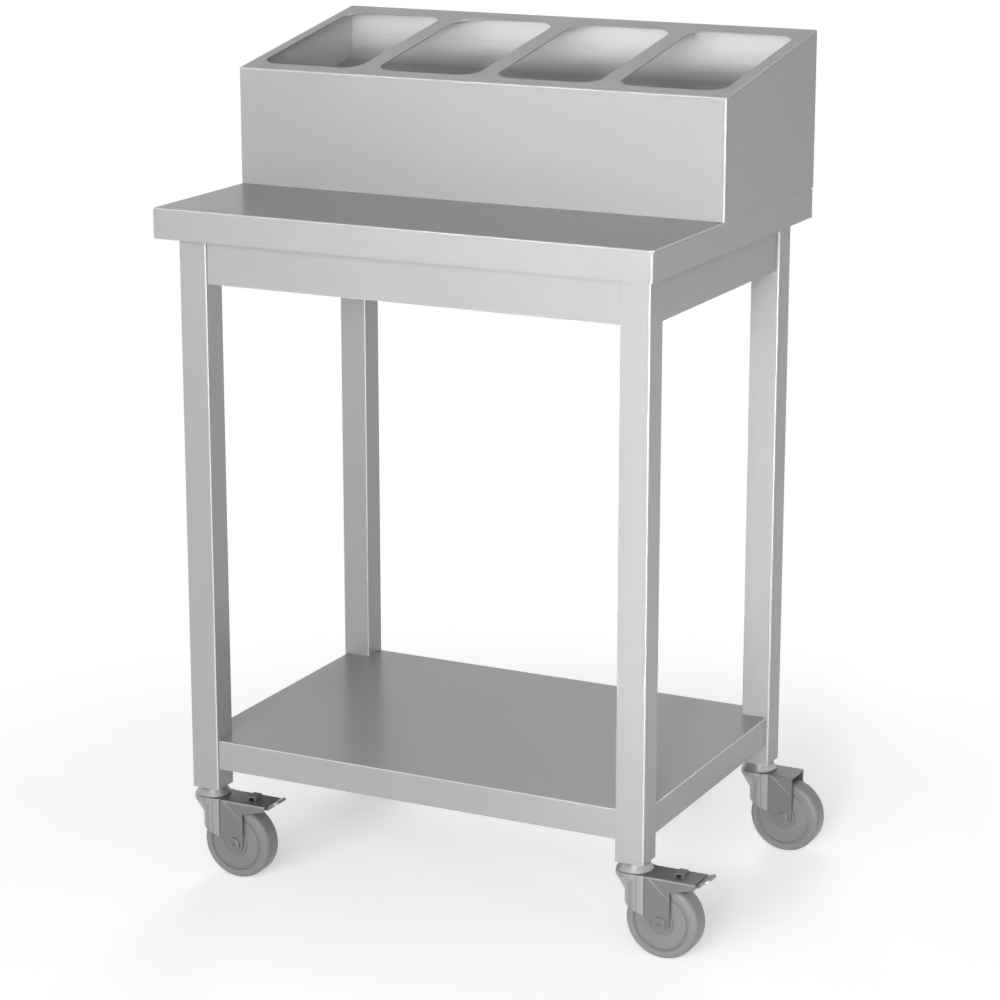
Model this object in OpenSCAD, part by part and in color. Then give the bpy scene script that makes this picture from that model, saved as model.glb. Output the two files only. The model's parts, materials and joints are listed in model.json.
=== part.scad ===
// Cutlery trolley in folded stainless sheet: a worktop with a sloping cutlery
// housing at the back, four square legs, a lower shelf and four swivel casters.
// Millimetres, Z up, floor at Z 0. X runs left to right, Y front to back, and
// the origin lies on the floor under the middle of the worktop.

/* [Piece] */
// Name of the piece to build, or all

/* [Worktop] */
// Width of the worktop along X
worktop_w = 700; // [660:10:760]
// Depth of the worktop along Y
worktop_d = 530; // [510:10:600]
// Height of the worktop above the floor
worktop_h = 917; // [820:1:960]
// Height of the folded edge round the worktop
worktop_edge = 40; // [30:1:50]
// Thickness of the worktop and housing sheet
sheet_t = 1.5; // [1:0.1:2]
// Outside radius of a sheet bend
bend_r = 2.5; // [2.2:0.1:4]
// Width of the lip folded in under the worktop edge
worktop_lip = 13; // [8:1:15]
// Diameter of the relief hole in each worktop corner
relief_d = 3; // [2:0.5:4]

/* [Legs and frame] */
// Outside size of the square leg tube
leg_s = 40; // [35:1:42]
// Wall of the leg tube
leg_wall = 1.5; // [1.2:0.1:2.5]
// Outside corner radius of the leg tube
leg_r = 2.5; // [2.5:0.1:5]
// Distance from the worktop's side to the leg
leg_inset_x = 17; // [16:1:30]
// Distance from the worktop's front and back to the leg
leg_inset_y = 34; // [20:1:50]
// Depth of the apron below the worktop edge
apron_drop = 62; // [40:1:80]
// Thickness of the apron and shelf sheet
rail_t = 1.2; // [1:0.1:2]
// Width of the flanges folded in on an apron
apron_flange = 18; // [12:1:24]
// Distance that aprons and shelf stand back from the legs' outer faces
face_back = 3.5; // [1:0.5:6]

/* [Shelf] */
// Height of the shelf's top above the floor
shelf_h = 192; // [180:1:260]
// Height of the folded edge round the shelf
shelf_edge = 40; // [30:1:50]
// Width of the lip folded in under the shelf edge
shelf_lip = 12; // [8:1:16]

/* [Housing] */
// Depth of the cutlery housing along Y
housing_d = 308.5; // [300:0.5:330]
// Height of the housing's front above the worktop
housing_front_h = 155; // [140:1:180]
// Height of the housing's back above the worktop
housing_rear_h = 208.5; // [190:0.5:230]
// Distance from one cut-out to the next
cutout_pitch = 173.5; // [170:0.5:174]
// Width of a cut-out along X
cutout_w = 147; // [140:1:150]
// Length of a cut-out along the slope
cutout_l = 255; // [245:1:260]
// Distance from the top's front edge to the cut-outs, along the slope
cutout_front = 26.5; // [20:0.5:34]
// Corner radius of a cut-out
cutout_r = 26; // [15:1:40]
// Number of cut-outs in the top
cutout_count = 4; // [1:1:4]
// Depth of the sloping tray below the top, square to it
tray_depth = 68; // [66:1:90]
// Inside radius of the cove at the back of the tray
tray_cove_r = 25; // [10:1:30]

/* [Casters] */
// Height of a caster from the floor to the end of the leg
caster_h = 123; // [123:1:123]
// Diameter of the wheel
wheel_d = 100; // [98:1:100]
// Width of the tyre
tyre_w = 31.5; // [28:0.5:32]
// Distance from the swivel axis to the wheel's axle
trail = 43.5; // [42:0.5:45]
// Thickness of the fork's sheet
fork_t = 2.5; // [2:0.1:2.5]
// Radius of the fork's round head
fork_head_r = 25; // [24:0.5:26]
// Half width of the fork's legs, outside
fork_leg_y = 21; // [21:0.1:21.5]
// Radius of the fork's curved nose
nose_r = 24; // [23.5:0.5:24.5]
// Distance that the front fork's plate runs past the swivel axis
brake_plate_x = 92; // [90:0.5:94]
// Angle of the brake pedal above level
pedal_slope = 26; // [24:1:28]

/* [Hidden] */

$fn = 64;
eps = 0.01;
seam = 0.3;
steel = [0.70, 0.70, 0.70];
steel_dark = [0.58, 0.58, 0.58];
zinc = [0.62, 0.61, 0.61];
core_grey = [0.58, 0.57, 0.57];
tyre_grey = [0.52, 0.51, 0.51];

// Worktop and frame
edge_z = worktop_h - worktop_edge;
under_top_z = worktop_h - sheet_t;
leg_x = worktop_w / 2 - leg_inset_x - leg_s / 2;
leg_y = worktop_d / 2 - leg_inset_y - leg_s / 2;
bay_x = leg_x - leg_s / 2;
bay_y = leg_y - leg_s / 2;
face_x = leg_x + leg_s / 2 - face_back;
face_y = leg_y + leg_s / 2 - face_back;
apron_z = edge_z - apron_drop;
apron_h = under_top_z - apron_z;
shelf_z = shelf_h - shelf_edge;
rail_bend_r = rail_t + 0.8;

// Hat-shaped stiffeners under the sheets
hat_w = 50;
hat_h = 18;
hat_foot = 14;
worktop_hat_x = 140;
shelf_hat_y = 90;

// Housing
housing_y = worktop_d / 2 - housing_d;
slope = atan((housing_rear_h - housing_front_h) / housing_d);
top_ridge_r = 1.2;
housing_flange = 15;
rear_foot = 12;
tray_flange = 12;
tray_front = housing_y + sheet_t + seam;
tray_back = worktop_d / 2 - sheet_t - seam;
tray_front_z = worktop_h + housing_front_h - (sheet_t + tray_depth) / cos(slope);
tray_centre_y = tray_back - rail_t - tray_cove_r;
tray_centre = [
  tray_centre_y,
  tray_front_z + (tray_centre_y - housing_y) * tan(slope) + tray_cove_r / cos(slope)
];
cutout_centre = cutout_front + cutout_l / 2;

// Screws that hold the housing down on the worktop
screw_r = 2.5;
screw_hole_r = 2.75;
screw_head_r = 4.5;
screw_head_h = 3;
nut_h = 4;
nut_r = 4.6;
screw_inset = 8;
screw_spots = [
  for (part = [-0.33, -0.11, 0.11, 0.33]) [part * worktop_w, housing_y + screw_inset],
  for (sx = [-1, 1], part = [0.29, 0.7]) [sx * (worktop_w / 2 - screw_inset), housing_y + part * housing_d]
];

// Caster heights, from the floor
axle_z = wheel_d / 2;
plate_z = caster_h - 12;
plate_under_z = plate_z - fork_t;
pin_r = 6;
run_gap = 0.05;
ball_r = 2.5;
ball_gap = 0.3;
ball_ring_r = 15;
ball_count = 12;
cup_under_z = plate_z + 2 * ball_r + 2 * ball_gap;
race_z = plate_under_z - 2 * ball_r - 2 * ball_gap;
race_t = 2;
race_r = 18.5;
pin_head_r = 9;
pin_head_h = 3;
plug_h = 42;

// Fork
fork_rear_x = 57;
axle_lug_r = 13.5;
crease_x = 21.5;
crease_z = 58;
nose_x = 12.2;
nose_low_z = 70;
cone_low_z = 82;
cone_low_r = 12;
cone_top_z = plate_z - 6;
fork_edge_r = 3.2;
wing_top_y = 23;
wing_low_y = 21.3;
wing_low = [53.5, 85.2];
facet_w = 7;
neck_r = 9;

// Wheel
hub_r = 17;
hub_half = 17.9;
disc_half = 14.6;
rim_r = 38.5;
groove_w = 1.6;
groove_h = 1.2;
shoulder_r = 4;
axle_r = 5;
sleeve_r = 6.5;
sleeve_half = fork_leg_y - fork_t - 0.05;
bolt_head_r = 8.6;
bolt_head_h = 3;
axle_nut_h = 6;

// Brake
skirt_near_z = plate_z - 16.5;
skirt_far_z = plate_z - 8;
pedal_pivot = [62, plate_z - 6.8];
pedal_press = 14;
pedal_t = 3;
pedal_half = 15.5;
pedal_root = [brake_plate_x + 0.4, plate_under_z - 1.1];
pedal_heel = pedal_root + [0.6, 3];
pedal_len = 15.5;
pedal_tip_r = 9;
eye_r = 4;
brake_pin_r = 2.5;
brake_pin_half = wing_top_y - 0.6;
lip_gap = 0.4;
lip_half = 8;
lip_from = 57.5;
lip_to = 64;
bridge_x = 58;
bridge_w = 12;
bridge_y = -7;
bridge_l = 17;
bridge_h = 6;
bridge_t = 2;

// Rectangle with round corners, centred, made of straight sides and arcs
module rounded_rect(w, h, r) {
  square([w - 2 * r, h], center = true);
  square([w, h - 2 * r], center = true);
  for (sx = [-1, 1], sy = [-1, 1])
    translate([sx * (w / 2 - r), sy * (h / 2 - r)])
      circle(r);
}

// Upright section with round top corners, from z0 to z1
module round_top(w, z0, z1, r) {
  translate([-w / 2, z0])
    square([w, z1 - z0 - r]);
  translate([-w / 2 + r, z0])
    square([w - 2 * r, z1 - z0]);
  for (s = [-1, 1])
    translate([s * (w / 2 - r), z1 - r])
      circle(r);
}

// Lays an X-Z section out along X, with its own X axis on Y
module along_x(length) {
  rotate([90, 0, 90])
    linear_extrude(length, center = true)
      children();
}

// Lays an X-Z section out along Y
module along_y(length) {
  rotate([90, 0, 0])
    linear_extrude(length, center = true)
      children();
}

// Box whose upright edges and top edges are sheet bends
module folded_block(w, d, z0, z1, r) {
  intersection() {
    translate([0, 0, z0])
      linear_extrude(z1 - z0)
        rounded_rect(w, d, r);
    along_x(w)
      round_top(d, z0, z1, r);
    along_y(d)
      round_top(w, z0, z1, r);
  }
}

// Folded tray, open below but for a lip all round
module folded_top(w, d, z0, z1, t, r, lip) {
  difference() {
    folded_block(w, d, z0, z1, r);
    folded_block(w - 2 * t, d - 2 * t, z0 + t, z1 - t, r - t);
    translate([-w / 2 + lip, -d / 2 + lip, z0 - 1])
      cube([w - 2 * lip, d - 2 * lip, t + 2]);
  }
}

// Channel section with its web on X 0 and its flanges towards +X
module channel_section(h, flange, t, r) {
  difference() {
    translate([flange, 0])
      rounded_rect(2 * flange, h, r);
    translate([flange, 0])
      rounded_rect(2 * flange - 2 * t, h - 2 * t, r - t);
    translate([flange, -h])
      square([flange + 1, 2 * h]);
  }
}

// Hat section hanging from Z 0
module hat_section(w, h, foot, t) {
  polygon([
    [-w / 2 - foot, 0], [-w / 2 + t, 0], [-w / 2 + t, -h + t], [w / 2 - t, -h + t], [w / 2 - t, 0],
    [w / 2 + foot, 0], [w / 2 + foot, -t], [w / 2, -t], [w / 2, -h], [-w / 2, -h], [-w / 2, -t],
    [-w / 2 - foot, -t]
  ]);
}

module worktop() {
  color(steel)
    difference() {
      folded_top(worktop_w, worktop_d, edge_z, worktop_h, sheet_t, bend_r, worktop_lip);
      for (sx = [-1, 1], sy = [-1, 1])
        translate([sx * (worktop_w / 2 - sheet_t), sy * (worktop_d / 2 - sheet_t), worktop_h - sheet_t])
          rotate([90, 0, sx * sy * 45])
            cylinder(h = 8, d = relief_d, center = true);
      for (spot = screw_spots)
        translate([spot.x, spot.y, under_top_z - 1])
          cylinder(h = sheet_t + 2, r = screw_hole_r);
    }
}

module worktop_stiffeners() {
  color(steel_dark)
    for (s = [-1, 1])
      translate([s * worktop_hat_x, 0, under_top_z])
        along_y(2 * (face_y - apron_flange - seam))
          hat_section(hat_w, hat_h, hat_foot, rail_t);
}

module leg(sx, sy) {
  color(steel)
    translate([sx * leg_x, sy * leg_y, caster_h])
      linear_extrude(under_top_z - caster_h)
        difference() {
          rounded_rect(leg_s, leg_s, leg_r);
          rounded_rect(leg_s - 2 * leg_wall, leg_s - 2 * leg_wall, leg_r - leg_wall);
        }
}

// Apron on the -X side of its own frame, as long as the bay between two legs
module apron(length) {
  rotate([90, 0, 0])
    linear_extrude(length - 2 * seam, center = true)
      translate([0, apron_z + apron_h / 2])
        channel_section(apron_h, apron_flange, rail_t, rail_bend_r);
}

module apron_front() {
  color(steel)
    translate([0, -face_y, 0])
      rotate([0, 0, 90])
        apron(2 * bay_x);
}

module apron_rear() {
  color(steel)
    translate([0, face_y, 0])
      rotate([0, 0, -90])
        apron(2 * bay_x);
}

module apron_left() {
  color(steel)
    translate([-face_x, 0, 0])
      apron(2 * bay_y);
}

module apron_right() {
  color(steel)
    translate([face_x, 0, 0])
      rotate([0, 0, 180])
        apron(2 * bay_y);
}

module shelf() {
  notch = leg_s + 2 * seam;
  color(steel)
    difference() {
      folded_top(2 * face_x, 2 * face_y, shelf_z, shelf_h, rail_t, rail_bend_r, shelf_lip);
      for (sx = [-1, 1], sy = [-1, 1])
        translate([sx * leg_x, sy * leg_y, shelf_z - 1])
          linear_extrude(shelf_edge + 2)
            rounded_rect(notch, notch, leg_r);
    }
}

module shelf_stiffeners() {
  color(steel_dark)
    for (s = [-1, 1])
      translate([0, s * shelf_hat_y, shelf_h - rail_t])
        along_x(2 * (face_x - rail_bend_r - seam))
          hat_section(hat_w, hat_h, hat_foot, rail_t);
}

// Side outline of the housing in Y and Z, moved inwards by inset
module housing_outline(inset, back, z0) {
  front = housing_y + inset;
  front_z = worktop_h + housing_front_h - inset / cos(slope) + inset * tan(slope);
  back_z = front_z + (back - front) * tan(slope);
  r = bend_r - inset;
  centre = [front + r, front_z + r * tan(slope) - r / cos(slope)];
  polygon([
    [front, z0], [back, z0], [back, back_z],
    centre + r * [-sin(slope), cos(slope)], centre, [front, centre.y]
  ]);
  translate(centre)
    circle(r);
}

// Moves a shape drawn on the sloping top to its place, with Y up the slope
module on_slope() {
  translate([0, housing_y, worktop_h + housing_front_h])
    rotate([slope, 0, 0])
      children();
}

// Outside of the housing: side outline, plan and ridge roundings together
module housing_block(inset, back, z0) {
  w = worktop_w - 2 * inset;
  reach = 2 * worktop_d;
  tall = 2 * (housing_rear_h + housing_d);
  intersection() {
    along_x(w)
      housing_outline(inset, back, z0);
    translate([0, housing_y + inset + reach / 2, z0 - 1])
      linear_extrude(tall)
        rounded_rect(w, reach, bend_r - inset);
    on_slope()
      along_y(2 * reach)
        round_top(w, -tall, -inset, max(top_ridge_r - inset, 0.3));
  }
}

module cutouts() {
  first = -(cutout_count - 1) / 2;
  on_slope()
    for (i = [0 : cutout_count - 1])
      translate([(first + i) * cutout_pitch, cutout_centre, -10])
        linear_extrude(20)
          rounded_rect(cutout_w, cutout_l, cutout_r);
}

module housing_shell() {
  back = worktop_d / 2;
  color(steel)
    difference() {
      housing_block(0, back, worktop_h);
      housing_block(sheet_t, back + 20, worktop_h + sheet_t);
      translate([-worktop_w / 2 + housing_flange, housing_y + housing_flange, worktop_h - 1])
        cube([worktop_w - 2 * housing_flange, housing_d, sheet_t + 2]);
      cutouts();
      for (spot = screw_spots)
        translate([spot.x, spot.y, worktop_h - 1])
          cylinder(h = sheet_t + 2, r = screw_hole_r);
    }
}

// Back panel between the shell's sides, with a foot folded in on the worktop
module housing_rear() {
  back = worktop_d / 2;
  foot_z = worktop_h + sheet_t + seam;
  color(steel)
    along_x(worktop_w - 2 * (sheet_t + seam))
      intersection() {
        union() {
          translate([back - sheet_t, foot_z])
            square([sheet_t, housing_rear_h]);
          translate([back - rear_foot, foot_z])
            square([rear_foot, sheet_t]);
        }
        housing_outline(sheet_t + seam, back, worktop_h);
      }
}

// Room over the tray in Y and Z, bounded below and behind at grow from its inside
module tray_room(grow, past) {
  r = tray_cove_r + grow;
  joint = tray_centre + r * [sin(slope), -cos(slope)];
  near = tray_front - past;
  high = tray_centre.y + tray_flange + past;
  polygon([
    [near, joint.y + (near - joint.x) * tan(slope)], joint, tray_centre,
    [tray_centre.x + r, tray_centre.y], [tray_centre.x + r, high], [near, high]
  ]);
  translate(tray_centre)
    intersection() {
      circle(r);
      translate([-2 * r, -2 * r])
        square([4 * r, 2 * r + 0.4]);
    }
}

// Tray that closes the housing under the cut-outs, with a cove at the back
module tray_section() {
  difference() {
    tray_room(rail_t, 0);
    tray_room(0, 1);
  }
  translate([tray_front, tray_front_z - tray_flange])
    square([rail_t, tray_flange - 0.4]);
}

module housing_tray() {
  color(steel_dark)
    along_x(worktop_w - 2 * (sheet_t + seam))
      tray_section();
}

module housing_screws() {
  grip = 2 * sheet_t;
  color(zinc)
    for (spot = screw_spots)
      translate([spot.x, spot.y, worktop_h + sheet_t]) {
        cylinder(h = screw_head_h, r = screw_head_r);
        translate([0, 0, -grip - nut_h - 1])
          cylinder(h = grip + nut_h + 1 + eps, r = screw_r);
      }
}

module housing_nuts() {
  color(zinc)
    for (spot = screw_spots)
      translate([spot.x, spot.y, under_top_z - nut_h])
        difference() {
          cylinder(h = nut_h, r = nut_r, $fn = 6);
          translate([0, 0, -1])
            cylinder(h = nut_h + 2, r = screw_r);
        }
}

// Moves a caster drawn about Z to its leg
module at_leg(sx, sy) {
  translate([sx * leg_x, sy * leg_y, 0])
    children();
}

module at_each_leg() {
  for (sx = [-1, 1], sy = [-1, 1])
    at_leg(sx, sy)
      children();
}

// Square plugs in the leg ends, bored for the kingpins
module leg_plugs() {
  plug_s = leg_s - 2 * leg_wall - 2 * seam;
  color(zinc)
    at_each_leg()
      translate([0, 0, caster_h])
        linear_extrude(plug_h)
          difference() {
            rounded_rect(plug_s, plug_s, leg_r - leg_wall);
            circle(pin_r + run_gap);
          }
}

module kingpins() {
  head_z = race_z - race_t - pin_head_h;
  color(zinc)
    at_each_leg()
      translate([0, 0, head_z]) {
        cylinder(h = pin_head_h, r = pin_head_r);
        cylinder(h = caster_h + plug_h - head_z, r = pin_r);
      }
}

module lower_races() {
  color(zinc)
    at_each_leg()
      translate([0, 0, race_z - race_t])
        difference() {
          cylinder(h = race_t, r = race_r);
          translate([0, 0, -1])
            cylinder(h = race_t + 2, r = pin_r + run_gap);
        }
}

// Fixed cup over the upper row of balls
module head_cup() {
  lip_r = fork_head_r - 1;
  ball_room_r = ball_ring_r + ball_r + 2;
  color(zinc)
    rotate_extrude()
      polygon([
        [pin_r + run_gap, cup_under_z], [ball_room_r, cup_under_z], [ball_room_r, plate_z + 1.4],
        [lip_r - 1.6, plate_z + 0.4], [lip_r, plate_z + 0.4], [lip_r, plate_z + 1.8],
        [lip_r - 1.2, plate_z + 3.6], [lip_r - 3, plate_z + 6.2], [lip_r - 4.6, plate_z + 9],
        [lip_r - 5.6, caster_h], [pin_r + run_gap, caster_h]
      ]);
}

// Two rows of balls, above and below the fork's plate
module balls() {
  rows = [plate_z + ball_gap + ball_r, plate_under_z - ball_gap - ball_r];
  color(zinc)
    for (z = rows, i = [0 : ball_count - 1])
      rotate(i * 360 / ball_count)
        translate([ball_ring_r, 0, z])
          sphere(ball_r, $fn = 24);
}

// Everything on the far side of a plane through three points
module beyond_plane(a, b, c) {
  n = cross(b - a, c - a);
  unit = n / norm(n);
  reach = 300;
  translate(a)
    rotate(acos(unit.z), cross([0, 0, 1], unit))
      translate([-reach / 2, -reach / 2, 0])
        cube([reach, reach, reach]);
}

// Side outline of the fork in X and Z; plate_x is the plate's far end
module fork_outline(plate_x) {
  lug = [trail, axle_z];
  reach = lug - [crease_x, crease_z];
  span = norm(reach);
  turn = acos(axle_lug_r / span);
  away = atan2(-reach.y, -reach.x);
  touch = lug + axle_lug_r * [cos(away + turn), sin(away + turn)];
  polygon([
    [-fork_head_r - 2, plate_z + 1], [fork_rear_x, plate_z + 1], [fork_rear_x, axle_z], lug, touch,
    [crease_x, crease_z], [nose_x - nose_r, nose_low_z], [-fork_head_r - 2, nose_low_z + 2]
  ]);
  translate(lug)
    circle(axle_lug_r);
  if (plate_x > fork_rear_x)
    polygon([
      [0, plate_z + 1], [plate_x, plate_z + 1], [plate_x, skirt_far_z + 2], [plate_x - 2, skirt_far_z],
      [fork_rear_x, skirt_near_z], [0, skirt_near_z]
    ]);
}

// Cross-section of the fork's wings: sides that lean out, and a round-edged top
module wing_section(inset) {
  top = plate_z - inset;
  lean = (wing_top_y - wing_low_y) / (plate_z - wing_low.y);
  r = max(fork_edge_r - inset, 1);
  side_top = wing_top_y - inset - r * lean;
  polygon([
    for (s = [[-1, 0], [-1, 1], [1, 1], [1, 0]])
      s[1] == 1
        ? [s[0] * side_top, top - r]
        : [s[0] * (side_top - (top - r) * lean), 0]
  ]);
  translate([-side_top + r, top - r - 1])
    square([2 * (side_top - r), r + 1]);
  for (s = [-1, 1])
    translate([s * (side_top - r), top - r])
      circle(r);
}

// Form of the fork as one solid, moved inwards by inset
module fork_form(plate_x, inset) {
  top = plate_z - inset;
  head_r = fork_head_r - inset;
  edge_r = max(2 - inset, 0.2);
  cone_inset = inset / cos(atan((fork_head_r - cone_low_r) / (cone_top_z - cone_low_z)));
  leg_half = fork_leg_y - inset;
  // round head
  rotate_extrude()
    difference() {
      translate([0, cone_top_z])
        square([head_r, top - cone_top_z]);
      translate([head_r - edge_r, top - edge_r])
        difference() {
          square(edge_r + 1);
          circle(edge_r);
        }
    }
  // cone from the head down to the nose
  translate([0, 0, cone_low_z])
    cylinder(h = cone_top_z - cone_low_z, r1 = cone_low_r - cone_inset, r2 = fork_head_r - cone_inset);
  // curved nose
  intersection() {
    translate([nose_x, 0, 0])
      rotate_extrude()
        difference() {
          square([nose_r - inset, top]);
          translate([nose_r - inset - edge_r, top - edge_r])
            difference() {
              square(edge_r + 1);
              circle(edge_r);
            }
        }
    translate([-100, -100, 0])
      cube([100 + crease_x - inset / 2, 200, 200]);
  }
  // flat legs
  translate([nose_x, -leg_half, 0])
    cube([fork_rear_x + (inset > 0 ? 1 : 0) - nose_x, 2 * leg_half, top - fork_edge_r]);
  // wings above the slanting crease
  intersection() {
    translate([nose_x, 0, 0])
      rotate([90, 0, 90])
        linear_extrude(plate_x + (inset > 0 ? 1 : 0) - nose_x)
          wing_section(inset);
    difference() {
      translate([0, -100, 0])
        cube([200, 200, 200]);
      for (side = [0, 1])
        mirror([0, side, 0])
          beyond_plane(
            [wing_low.x, -leg_half, wing_low.y],
            [crease_x + facet_w, -wing_top_y + inset, plate_z],
            [crease_x, -leg_half, plate_z]
          );
    }
  }
}

// Bridge lanced up out of the plate, over a slot of its own length
module plate_bridge() {
  translate([bridge_x, bridge_y, plate_z - eps])
    cube([bridge_w, bridge_l, bridge_h + eps]);
}

module bridge_slot() {
  slot_w = bridge_w - 2 * bridge_t;
  translate([bridge_x + bridge_t, bridge_y, plate_under_z - 1]) {
    cube([slot_w, bridge_l, fork_t + 2]);
    translate([0, -1, fork_t + 1])
      cube([slot_w, bridge_l + 2, bridge_h - bridge_t]);
  }
}

// Swivel fork pressed from one sheet
module fork(plate_x) {
  with_brake = plate_x > fork_rear_x;
  color(zinc)
    difference() {
      union() {
        difference() {
          intersection() {
            fork_form(plate_x, 0);
            along_y(200)
              fork_outline(plate_x);
          }
          fork_form(plate_x, fork_t);
        }
        translate([0, 0, race_z + 1.4])
          cylinder(h = cup_under_z - race_z - 2.4, r = neck_r);
        if (with_brake)
          plate_bridge();
      }
      cylinder(h = 3 * caster_h, r = pin_r + run_gap, center = true);
      translate([trail, 0, axle_z])
        rotate([90, 0, 0])
          cylinder(h = 100, r = axle_r + run_gap, center = true);
      if (with_brake) {
        bridge_slot();
        translate([pedal_pivot.x, 0, pedal_pivot.y])
          rotate([90, 0, 0])
            cylinder(h = 100, r = brake_pin_r, center = true);
      }
    }
}

// Lies along the axle: children are drawn with the axle on Z, head at the front
module on_axle() {
  translate([trail, 0, axle_z])
    rotate([90, 0, 0])
      children();
}

// Bolt with a dished round head on the fork's front side
module axle_bolt() {
  tail = fork_leg_y + axle_nut_h + 1.5;
  color(zinc)
    on_axle()
      rotate_extrude()
        difference() {
          union() {
            translate([0, -tail])
              square([axle_r, tail + fork_leg_y]);
            translate([0, fork_leg_y])
              square([bolt_head_r - 1, bolt_head_h]);
            translate([0, fork_leg_y])
              square([bolt_head_r, bolt_head_h - 1]);
            translate([bolt_head_r - 1, fork_leg_y + bolt_head_h - 1])
              circle(1);
          }
          polygon([
            [0, fork_leg_y + 0.6], [1.2, fork_leg_y + 0.6], [1.6, fork_leg_y + bolt_head_h - 1],
            [4.2, fork_leg_y + bolt_head_h - 0.4], [4.9, fork_leg_y + bolt_head_h + 1],
            [0, fork_leg_y + bolt_head_h + 1]
          ]);
        }
}

module axle_nut() {
  color(zinc)
    on_axle()
      translate([0, 0, -fork_leg_y - axle_nut_h])
        difference() {
          cylinder(h = axle_nut_h, r = 9.2, $fn = 6);
          translate([0, 0, -1])
            cylinder(h = axle_nut_h + 2, r = axle_r);
        }
}

module axle_sleeve() {
  color(zinc)
    on_axle()
      difference() {
        cylinder(h = 2 * sleeve_half, r = sleeve_r, center = true);
        cylinder(h = 2 * sleeve_half + 2, r = axle_r + run_gap, center = true);
      }
}

// Half section of a ring: radius along X, distance from the wheel's middle along Y
module both_sides() {
  children();
  mirror([0, 1])
    children();
}

module wheel_core() {
  bore_r = sleeve_r + run_gap;
  color(core_grey)
    on_axle()
      rotate_extrude()
        both_sides()
          difference() {
            polygon([
              [bore_r, 0], [bore_r, hub_half], [hub_r - 1.5, hub_half], [hub_r, hub_half - 1.5],
              [hub_r, disc_half], [rim_r - 1.2, disc_half], [rim_r, disc_half - 1.2], [rim_r, 0]
            ]);
            translate([rim_r - groove_w - 2.4, disc_half - groove_h])
              square([groove_w, groove_h + 1]);
          }
}

module tyre() {
  half = tyre_w / 2;
  wheel_r = wheel_d / 2;
  color(tyre_grey)
    on_axle()
      rotate_extrude()
        both_sides() {
          translate([rim_r, 0])
            square([wheel_r - shoulder_r - rim_r, half]);
          translate([rim_r, 0])
            square([wheel_r - rim_r, half - shoulder_r]);
          translate([wheel_r - shoulder_r, half - shoulder_r])
            circle(shoulder_r);
        }
}

// Side outline of the pedal: an eye, a strip, a short riser past the plate's end, and a blade
module pedal_profile() {
  tip = pedal_heel + pedal_len * [cos(pedal_slope), sin(pedal_slope)];
  under_tip = tip + pedal_t * [sin(pedal_slope), -cos(pedal_slope)];
  under_x = pedal_heel.x + pedal_t;
  under_heel = [under_x, under_tip.y - (under_tip.x - under_x) * tan(pedal_slope)];
  polygon([
    [pedal_pivot.x, pedal_root.y], pedal_root, pedal_heel, tip, under_tip, under_heel,
    pedal_root + [1.8, -pedal_t], [pedal_pivot.x, pedal_root.y - pedal_t]
  ]);
  translate(pedal_pivot)
    circle(eye_r);
}

// Outline of the pedal seen square to its blade, with X up the slope from the heel
module pedal_plan() {
  straight = pedal_len - pedal_tip_r;
  behind = 40;
  translate([-behind, -pedal_half])
    square([behind + straight, 2 * pedal_half]);
  translate([straight - 1, -pedal_half + pedal_tip_r])
    square([pedal_tip_r + 1, 2 * (pedal_half - pedal_tip_r)]);
  for (s = [-1, 1])
    translate([straight, s * (pedal_half - pedal_tip_r)])
      circle(pedal_tip_r);
}

// Lip that grips the tread, drawn pressed down and then let up to its rest
module brake_lip() {
  tread_r = wheel_d / 2 + lip_gap;
  axle = [trail, axle_z];
  translate([pedal_pivot.x, 0, pedal_pivot.y])
    rotate([0, -pedal_press, 0])
      translate([-pedal_pivot.x, 0, -pedal_pivot.y])
        along_y(2 * lip_half)
          difference() {
            polygon([
              pedal_pivot - [3, 0], pedal_pivot + [3, 0],
              axle + (tread_r - 1) * [cos(lip_from), sin(lip_from)],
              axle + (tread_r - 1) * [cos(lip_to), sin(lip_to)]
            ]);
            translate(axle)
              circle(tread_r, $fn = 128);
          }
}

module brake_pedal() {
  color(zinc)
    difference() {
      union() {
        intersection() {
          along_y(2 * pedal_half)
            pedal_profile();
          translate([pedal_heel.x, 0, pedal_heel.y])
            rotate([0, -pedal_slope, 0])
              translate([0, 0, -10])
                linear_extrude(40)
                  pedal_plan();
        }
        brake_lip();
      }
      translate([pedal_pivot.x, 0, pedal_pivot.y])
        rotate([90, 0, 0])
          cylinder(h = 100, r = brake_pin_r + run_gap, center = true);
    }
}

module brake_pin() {
  color(zinc)
    translate([pedal_pivot.x, 0, pedal_pivot.y])
      rotate([90, 0, 0])
        cylinder(h = 2 * brake_pin_half, r = brake_pin_r, center = true);
}

worktop();
worktop_stiffeners();
leg(-1, -1);  // leg_front_left
leg(1, -1);  // leg_front_right
leg(-1, 1);  // leg_rear_left
leg(1, 1);  // leg_rear_right
apron_front();
apron_rear();
apron_left();
apron_right();
shelf();
shelf_stiffeners();
housing_shell();
housing_rear();
housing_tray();
housing_screws();
housing_nuts();
leg_plugs();
kingpins();
lower_races();
at_leg(-1, -1) head_cup();  // head_cup_front_left
at_leg(1, -1) head_cup();  // head_cup_front_right
at_leg(-1, 1) head_cup();  // head_cup_rear_left
at_leg(1, 1) head_cup();  // head_cup_rear_right
at_leg(-1, -1) fork(brake_plate_x);  // fork_front_left
at_leg(1, -1) fork(brake_plate_x);  // fork_front_right
at_leg(-1, 1) fork(fork_rear_x);  // fork_rear_left
at_leg(1, 1) fork(fork_rear_x);  // fork_rear_right
at_leg(-1, -1) balls();  // balls_front_left
at_leg(1, -1) balls();  // balls_front_right
at_leg(-1, 1) balls();  // balls_rear_left
at_leg(1, 1) balls();  // balls_rear_right
at_leg(-1, -1) axle_bolt();  // axle_bolt_front_left
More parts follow.
